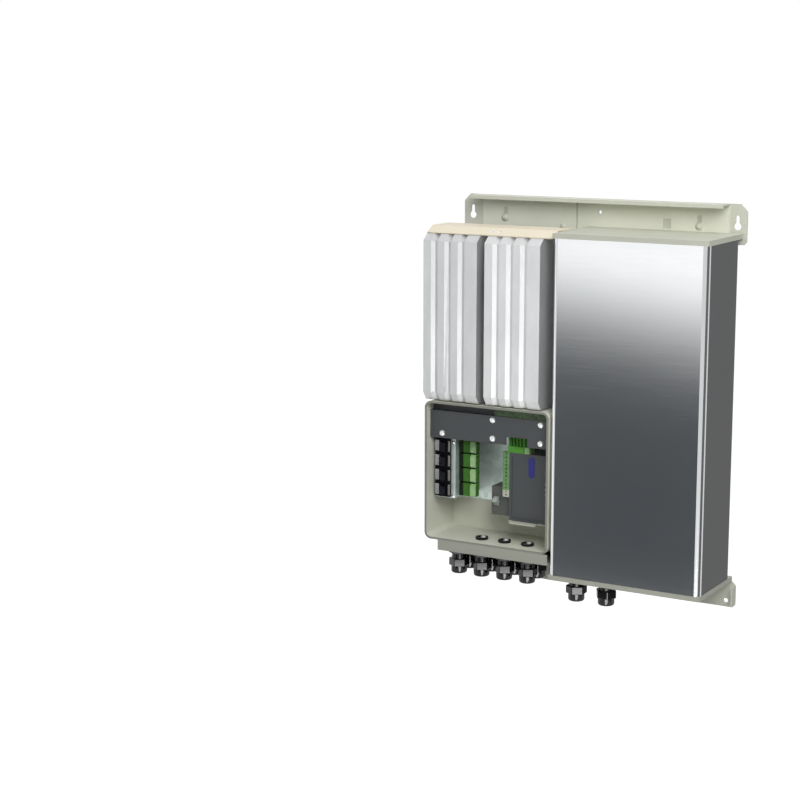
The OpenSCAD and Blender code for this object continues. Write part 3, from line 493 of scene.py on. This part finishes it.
class CABINET_OT_sheet_finishes(bpy.types.Operator):
    """Finish the sheet metal, the castings and the steel"""

    bl_idname = "cabinet.sheet_finishes"
    bl_label = "Sheet and casting finishes"

    def execute(self, context):
        tones = context.scene.cabinet_finish
        paint, casting, zinc = tuple(tones.paint), tuple(tones.casting), tuple(tones.zinc)
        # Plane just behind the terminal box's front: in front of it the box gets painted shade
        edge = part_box("terminal_box")[0].y + 0.6 * MM
        # Nodes, finish, share of the paint tone, roughness and edge plane of the painted sheets; some shares are
        # painted light and shade, as marked
        coats = (
            (["top_shelf", "controller_tray"], "pale_powder_coat", 0.95, 0.42, None),
            # Painted light: the flanges are a lighter copy of the paint where the lip above shades them
            (["battery_back", "power_frame"], "flange_painted_light_coat", 1.28, 0.42, None),
            # Painted shade: the bottom plate is a darker copy of the same paint
            (["bottom_plate"], "base_painted_shade_coat", 0.72, 0.42, None),
            (["wall_plate"], "plate_powder_coat", 1.02, 0.42, None),
            # Painted light: the box is a lighter copy of the sheet paint, and its front edge has painted shade
            (["terminal_box"], "box_painted_light_and_shade_coat", 1.09, 0.46, edge),
            # Painted shade: the gland tray's skirt is a darker copy of the same paint
            (["gland_tray"], "tray_painted_shade_coat", 0.66, 0.46, None),
            (["hanging_screws", "frame_screw"], "screw_paint", 1.1, 0.34, None),
        )
        for names, finish, share, rough, plane in coats:
            finish_of(*names, material=powder_coat(finish, shade(paint, share), rough, plane))
        # The plate over the rectifiers: pale paint whose cream warmth is a painted warm reflection
        finish_of("top_plate", material=powder_coat("cream_paint", tuple(tones.cream), 0.5))
        finish_of("bracket", "controller_box", material=powder_coat("dark_powder_coat", tuple(tones.dark), 0.5))
        # The two housings are one casting: rectifier_1 a touch darker and rectifier_2 lighter, as painted light and
        # shade
        finish_of("rectifier_1", material=blasted_casting("blasted_casting", shade(casting, 0.96)))
        finish_of("rectifier_2", material=blasted_casting("blasted_casting_painted_light", shade(casting, 1.09)))
        finish_of("battery_cover", material=brushed_sheet("brushed_stainless", tuple(tones.stainless)))
        finish_of(
            "case_back", "battery_rack", "rectifier_base_1", "rectifier_base_2", "breaker_bracket",
            material=zinc_plate("zinc_plate", zinc),
        )
        # A lighter copy of the zinc on the mounting plate, as painted light inside the box
        finish_of("mounting_plate", material=zinc_plate("zinc_plate_painted_light", shade(zinc, 1.4)))
        finish_of(
            "cover_screws", "top_plate_screws", "bracket_screws", "breaker_bracket_screws",
            material=plated_steel("plated_steel"),
        )
        return {"FINISHED"}


class CABINET_OT_plastic_finishes(bpy.types.Operator):
    """Finish the plugs, the breakers, the board and the batteries"""

    bl_idname = "cabinet.plastic_finishes"
    bl_label = "Plastic finishes"

    def execute(self, context):
        tones = context.scene.cabinet_finish
        self.plugs(tuple(tones.green), tuple(tones.light_green))
        # Nodes, finish, tone, roughness and shine of the plain mouldings
        mouldings = (
            (["terminal_header"], "header_green", (0.008, 0.026, 0.012), 0.45, 0.15),
            (numbered("breaker"), "black_moulding", (0.004, 0.004, 0.007), 0.40, 0.07),
            (numbered("breaker_toggle"), "toggle_black", (0.004, 0.004, 0.008), 0.38, 0.09),
            (["gland_bodies", "gland_locknuts"], "locknut_black", (0.010, 0.010, 0.011), 0.28, 0.20),
            (["battery_switch"], "switch_grey", (0.085, 0.092, 0.082), 0.42, 0.40),
            (["battery_switch_toggle"], "toggle_grey", (0.40, 0.44, 0.41), 0.40, 0.40),
            (["controller_leds"], "lens", (0.62, 0.64, 0.58), 0.20, 0.40),
            (numbered("battery"), "battery_case", (0.035, 0.037, 0.040), 0.50, 0.40),
        )
        for names, finish, tone, rough, shine in mouldings:
            finish_of(*names, material=moulded(finish, tone, rough, shine=shine))
        rubber = moulded("rubber_black", (0.012, 0.012, 0.012), 0.6, grain=800, depth=0.2, shine=0.15)
        finish_of("gland_seals", material=rubber)
        way_1, way_2 = (MOUNTS["cable_front_%d" % i]["pos_m"] for i in (2, 3))
        # The pale middle inside each ring is painted light
        ring = ring_with_painted_light(
            "floor_ring_painted_light", (0.014, 0.014, 0.014), (0.85, 0.85, 0.82),
            first=way_1[0], pitch=way_2[0] - way_1[0], row=way_1[1], radius=7 * MM,
        )
        finish_of("floor_grommets", material=ring)
        finish_of("interface_board", material=printed_board("solder_mask", (0.035, 0.080, 0.020)))
        finish_of("battery_posts", material=zinc_plate("lead_post", (0.30, 0.31, 0.33)))
        return {"FINISHED"}

    def plugs(self, green, light):
        """Painted shade on the output plugs' left end and a pale raised front on them, pale ends on the other two.
        """
        shaded_left_end, front_width, front_depth = 6.4 * MM, 8.2 * MM, 3.2 * MM
        low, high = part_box("output_plug_1")
        bands = [
            {"X": (-FAR, low.x + shaded_left_end)},
            {"X": (high.x - front_width, FAR), "Y": (-FAR, low.y + front_depth)},
        ]
        # The near-black second tone is painted shade on the plugs' left end
        tones = [green, shade(green, 0.07), light]
        finish_of(*numbered("output_plug"), material=banded_plug("plug_green", tones, bands))
        right_end, lower_end = 7 * MM, 10 * MM
        bands = [{"X": (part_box("bus_plug")[1].x - right_end, FAR)}]
        tones = [shade(green, 2.0), shade(light, 1.25)]
        finish_of("bus_plug", material=banded_plug("bus_green", tones, bands))
        bands = [{"Z": (-FAR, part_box("signal_plug")[0].z + lower_end)}]
        tones = [(0.185, 0.350, 0.150), (0.60, 0.63, 0.52)]
        finish_of("signal_plug", material=banded_plug("signal_green", tones, bands))


class CABINET_OT_gland_nuts(bpy.types.Operator):
    """Set a dome nut with a hex grip on every cable gland"""

    bl_idname = "cabinet.gland_nuts"
    bl_label = "Gland nuts"

    def execute(self, context):
        finish = glossy_gland("gland_black")
        rows = {"square": [], "turned": []}
        for name, mount in MOUNTS.items():
            if "cable" in name:
                x, y, z = mount["pos_m"]
                turned = "rear" in name or name == "battery_cable_2"
                rows["turned" if turned else "square"].append((x, y, z + GLAND_SEAT))
        flats = context.scene.cabinet_detail.gland_flats
        for row, turn in (("square", 0), ("turned", 30)):
            shape = shape_object("nut_shape_" + row, self.nut(flats, math.radians(turn)))
            nuts = scatter("gland_nuts_" + row, rows[row], shape, finish, "cabinet", NUT_SHARP)
            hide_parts("gland_nuts")
        return {"FINISHED"}

    def nut(self, flats, turned):
        """A round neck, then the hexagon, then the skirt that turns in to the rim, down from the seat."""
        bm = bmesh.new()
        steps = 48
        top, neck_end, hex_end, end = -7 * MM, -15 * MM, -26 * MM, -37 * MM
        bore, inner, neck, skirt = 6.5 * MM, 8.7 * MM, 11 * MM, 11.8 * MM
        bevel, chamfer, rim = 0.4 * MM, 0.7 * MM, 3 * MM
        upper = [(neck - bevel, top), (neck, top - bevel)]
        lathe(bm, [(inner, top), *upper, (neck, neck_end), (inner, neck_end)], steps)
        corner = flats / 2 / math.cos(math.radians(30))
        middle = Matrix.Translation((0, 0, (neck_end + hex_end) / 2))
        hexagon = bmesh.ops.create_cone(
            bm, cap_ends=True, segments=6, radius1=corner, radius2=corner, depth=neck_end - hex_end,
            matrix=middle @ Matrix.Rotation(turned, 4, "Z"),
        )
        edges = list({e for v in hexagon["verts"] for e in v.link_edges})
        bmesh.ops.bevel(bm, geom=edges, offset=chamfer, segments=1, affect="EDGES")
        curve = []
        for degrees in range(90, -1, -15):
            a = math.radians(degrees)
            curve.append((skirt - rim + rim * math.cos(a), end + rim - rim * math.sin(a)))
        lathe(bm, [(bore, end), *curve, (skirt, hex_end), (bore, hex_end)], steps)
        bmesh.ops.recalc_face_normals(bm, faces=bm.faces)
        return bm


class CABINET_OT_breaker_faces(bpy.types.Operator):
    """Put the pale side strips on the breakers' fronts"""

    bl_idname = "cabinet.breaker_faces"
    bl_label = "Breaker strips"

    def execute(self, context):
        detail = context.scene.cabinet_detail
        low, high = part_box("breaker_1")
        heights = [sum(corner.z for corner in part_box(name)) / 2 for name in numbered("breaker")]
        centre = heights[0]
        places = [(0, 0, height - centre) for height in heights]
        tall = high.z - low.z - detail.strip_gap
        sides = (
            ("left", low.x, low.x + detail.strip_left, (0.40, 0.41, 0.44)),
            ("right", high.x - detail.strip_right, high.x, (0.24, 0.24, 0.20)),
        )
        for side, x0, x1, tone in sides:
            bm = bmesh.new()
            near = (x0, low.y - detail.strip_depth, centre - tall / 2)
            soft_block(bm, near, (x1, low.y, centre + tall / 2), detail.edge)
            shape = shape_object("strip_shape_" + side, bm)
            finish = moulded("strip_" + side, tone, 0.4)
            scatter("breaker_strips_" + side, places, shape, finish, "cabinet")
        return {"FINISHED"}


class CABINET_OT_controller_field(bpy.types.Operator):
    """Put a plain blue field on the controller's front"""

    bl_idname = "cabinet.controller_field"
    bl_label = "Controller field"

    def execute(self, context):
        detail = context.scene.cabinet_detail
        low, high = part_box("controller_box")
        from_right, from_top, recess, thick = 37 * MM, 19 * MM, 1.0 * MM, 0.6 * MM
        x, y, z = high.x - from_right, low.y + recess, high.z - from_top
        round_r = detail.field_width / 2
        reach = detail.field_height / 2 - round_r
        bm = bmesh.new()
        outline = []
        for side, first in ((1, 0), (-1, 180)):
            for degrees in range(first, first + 181, 12):
                a = math.radians(degrees)
                outline.append((x + round_r * math.cos(a), z + side * reach + round_r * math.sin(a)))
        front = bm.faces.new([bm.verts.new((px, y - thick, pz)) for px, pz in outline])
        solid = bmesh.ops.extrude_face_region(bm, geom=[front])
        rear = [v for v in solid["geom"] if isinstance(v, bmesh.types.BMVert)]
        bmesh.ops.translate(bm, vec=(0, thick, 0), verts=rear)
        bmesh.ops.recalc_face_normals(bm, faces=bm.faces)
        finish = moulded("field_blue", tuple(context.scene.cabinet_finish.blue), 0.35)
        piece = mesh_object("controller_field", bm, finish, "cabinet")
        smooth(piece.data)
        return {"FINISHED"}


def any_ray(tree, *kinds):
    """1 for light paths of any of the given kinds, else 0."""
    path = tree.nodes.new("ShaderNodeLightPath")
    total = path.outputs[kinds[0]]
    for kind in kinds[1:]:
        node = tree.nodes.new("ShaderNodeMath")
        node.operation = "MAXIMUM"
        tree.links.new(total, node.inputs[0])
        tree.links.new(path.outputs[kind], node.inputs[1])
        total = node.outputs[0]
    return total


class CABINET_OT_stage(bpy.types.Operator):
    """Set the floor, the lamps, the reflected cards and the camera"""

    bl_idname = "cabinet.stage"
    bl_label = "Stage"

    def execute(self, context):
        settings = context.scene.cabinet_stage
        scene = context.scene
        scene.view_settings.view_transform = "Standard"
        self.world(scene, settings)
        self.floor(settings)
        self.cards(settings)
        self.lamps(settings)
        camera = bpy.data.cameras.new("camera")
        camera.lens = settings.lens
        camera.sensor_width = 36
        camera.clip_end = 60
        rig = bpy.data.objects.new("camera", camera)
        rig.location = CAMERA_PLACE
        rig.rotation_euler = CAMERA_TURN
        scene.collection.objects.link(rig)
        scene.camera = rig
        return {"FINISHED"}

    def world(self, scene, settings):
        """An even light that shows white to the camera and in reflections."""
        world = bpy.data.worlds.new("studio")
        scene.world = world
        world.use_nodes = True
        tree = world.node_tree
        even, white = tree.nodes["Background"], tree.nodes.new("ShaderNodeBackground")
        for node, strength in ((even, settings.fill), (white, 1.0)):
            node.inputs["Color"].default_value = (1, 1, 1, 1)
            node.inputs["Strength"].default_value = strength
        mix = tree.nodes.new("ShaderNodeMixShader")
        seen = any_ray(tree, "Is Camera Ray", "Is Glossy Ray", "Is Transmission Ray")
        tree.links.new(seen, mix.inputs["Fac"])
        tree.links.new(even.outputs[0], mix.inputs[1])
        tree.links.new(white.outputs[0], mix.inputs[2])
        tree.links.new(mix.outputs[0], tree.nodes["World Output"].inputs["Surface"])

    def plane(self, name, corners, material):
        bm = bmesh.new()
        bm.faces.new([bm.verts.new(c) for c in corners])
        mesh = bpy.data.meshes.new(name)
        bm.to_mesh(mesh)
        bm.free()
        obj = bpy.data.objects.new(name, mesh)
        bpy.context.scene.collection.objects.link(obj)
        mesh.materials.append(material)
        return obj

    def floor(self, settings):
        """A pale floor that shows white and keeps the shadow."""
        material = bpy.data.materials.new("floor")
        material.use_nodes = True
        tree = material.node_tree
        tree.nodes.remove(tree.nodes["Principled BSDF"])
        matt, glow = tree.nodes.new("ShaderNodeBsdfDiffuse"), tree.nodes.new("ShaderNodeEmission")
        total, share = tree.nodes.new("ShaderNodeAddShader"), tree.nodes.new("ShaderNodeMath")
        matt.inputs["Color"].default_value = (0.40, 0.40, 0.40, 1)
        share.operation = "MULTIPLY"
        share.inputs[1].default_value = 0.91
        for source, target in (
            (any_ray(tree, "Is Camera Ray", "Is Glossy Ray"), share.inputs[0]),
            (share.outputs[0], glow.inputs["Strength"]),
            (matt.outputs[0], total.inputs[0]),
            (glow.outputs[0], total.inputs[1]),
            (total.outputs[0], tree.nodes["Material Output"].inputs["Surface"]),
        ):
            tree.links.new(source, target)
        r, z = 14, -settings.floor_drop
        self.plane("floor", [(-r, -r, z), (r, -r, z), (r, r, z), (-r, r, z)], material)

    def card(self, name, corners, strength, along=(0, 0, 1), fade=((0, 1), (1, 1))):
        """A card that only reflections show, with two places along a direction and each one's share of strength."""
        f = Finish(name)
        way = f.add("ShaderNodeVectorMath", operation="DOT_PRODUCT")
        f.join(f.place, way.inputs[0])
        way.inputs[1].default_value = along
        ramp = f.add("ShaderNodeValToRGB")
        ramp.color_ramp.interpolation = "EASE"
        for point, (_, share) in zip(ramp.color_ramp.elements, fade):
            # The darker a card is, the cooler
            tint = 0.08 * (1 - share)
            point.color = (share * (1 - tint), share, share * (1 + tint), 1)
        span = f.spread(way.outputs["Value"], 0.0, 1.0, fade[0][0], fade[1][0])
        f.join(span, ramp.inputs["Fac"])
        glow = f.add("ShaderNodeEmission")
        glow.inputs["Strength"].default_value = strength
        f.join(ramp.outputs["Color"], glow.inputs["Color"])
        f.nodes.remove(f.shader)
        f.join(glow.outputs[0], f.nodes["Material Output"].inputs["Surface"])
        obj = self.plane(name, corners, f.material)
        obj.visible_camera = False
        obj.visible_diffuse = False
        obj.visible_shadow = False
        obj.visible_transmission = False

    def cards(self, settings):
        low = -settings.floor_drop + 0.01

        def flat(*corners):
            return [(x, y, low) for x, y in corners]

        def upright(first, second, high):
            return [(*first, low), (*second, low), (*second, high), (*first, high)]

        # The sheet in front of the cover fades from light far away to dark close by, at a slant
        front = flat((-0.706, -1.33), (-5.79, -10.1), (-2.65, -10.1), (-0.13, -1.33))
        self.card("card_front", front, 1.9, (-0.65, 1, 0), ((-5.95, 1.0), (-2.85, 0.057)))
        # Two dark uprights for the cover's side and bend, which go on along the floor
        dim_side, dim_right = 0.175, 0.20
        self.card("card_side", upright((0.30, 1.3), (1.13, 1.3), 1.6), dim_side)
        self.card("card_right", upright((3.2, -2.1), (3.2, 1.0), 1.6), dim_right)
        self.card("card_side_foot", flat((0.30, 0.95), (1.00, 0.95), (1.13, 1.3), (0.30, 1.3)), dim_side)
        self.card("card_right_foot", flat((1.21, -0.78), (3.2, -2.1), (3.2, 1.0), (1.32, 0.29)), dim_right)
        # The bright sheet shows in the glands' facets and necks
        bright = flat((0.25, -1.50), (0.55, -1.46), (0.80, -1.38), (0.95, -1.28), (0.95, -0.85), (0.25, -0.85))
        self.card("card_low", bright, 16.0)
        self.card("card_left", upright((-1.6, -1.5), (-1.6, 1.2), 2.0), 1.5)

    def lamps(self, settings):
        def soft(name, place, aim, size, power):
            lamp = bpy.data.lights.new(name, "AREA")
            lamp.shape = "RECTANGLE"
            lamp.size, lamp.size_y = size
            lamp.energy = power
            obj = bpy.data.objects.new(name, lamp)
            obj.location = place
            obj.rotation_euler = (Vector(aim) - Vector(place)).to_track_quat("-Z", "Y").to_euler()
            bpy.context.scene.collection.objects.link(obj)
            obj.visible_glossy = False

        soft("key", (1.25, -1.6, 1.6), (0, -0.1, 0.4), (1.4, 1.4), settings.key)
        soft("top", (0.1, -0.3, 2.4), (0.1, -0.1, 0.3), (1.2, 0.8), settings.key * 0.28)


class CABINET_PT_panel(bpy.types.Panel):
    """Shows the cabinet's settings and a button for each operator"""

    bl_idname = "CABINET_PT_panel"
    bl_label = "Cabinet"
    bl_space_type = "VIEW_3D"
    bl_region_type = "UI"
    bl_category = "Cabinet"

    def draw(self, context):
        for group in (context.scene.cabinet_finish, context.scene.cabinet_detail, context.scene.cabinet_stage):
            column = self.layout.column(align=True)
            for key in group.__annotations__:
                column.prop(group, key)
        for operator in OPERATORS:
            self.layout.operator(operator.bl_idname)


GROUPS = (CabinetFinish, CabinetDetail, CabinetStage)
OPERATORS = (
    CABINET_OT_sheet_finishes, CABINET_OT_plastic_finishes, CABINET_OT_gland_nuts, CABINET_OT_breaker_faces,
    CABINET_OT_controller_field, CABINET_OT_stage,
)


def register():
    for cls in (*GROUPS, *OPERATORS, CABINET_PT_panel):
        bpy.utils.register_class(cls)
    bpy.types.Scene.cabinet_finish = PointerProperty(type=CabinetFinish)
    bpy.types.Scene.cabinet_detail = PointerProperty(type=CabinetDetail)
    bpy.types.Scene.cabinet_stage = PointerProperty(type=CabinetStage)


def unregister():
    del bpy.types.Scene.cabinet_stage
    del bpy.types.Scene.cabinet_detail
    del bpy.types.Scene.cabinet_finish
    for cls in reversed((*GROUPS, *OPERATORS, CABINET_PT_panel)):
        bpy.utils.unregister_class(cls)


def main():
    register()
    bpy.ops.cabinet.sheet_finishes()
    bpy.ops.cabinet.plastic_finishes()
    bpy.ops.cabinet.gland_nuts()
    bpy.ops.cabinet.breaker_faces()
    bpy.ops.cabinet.controller_field()
    bpy.ops.cabinet.stage()


if __name__ == "__main__":
    main()
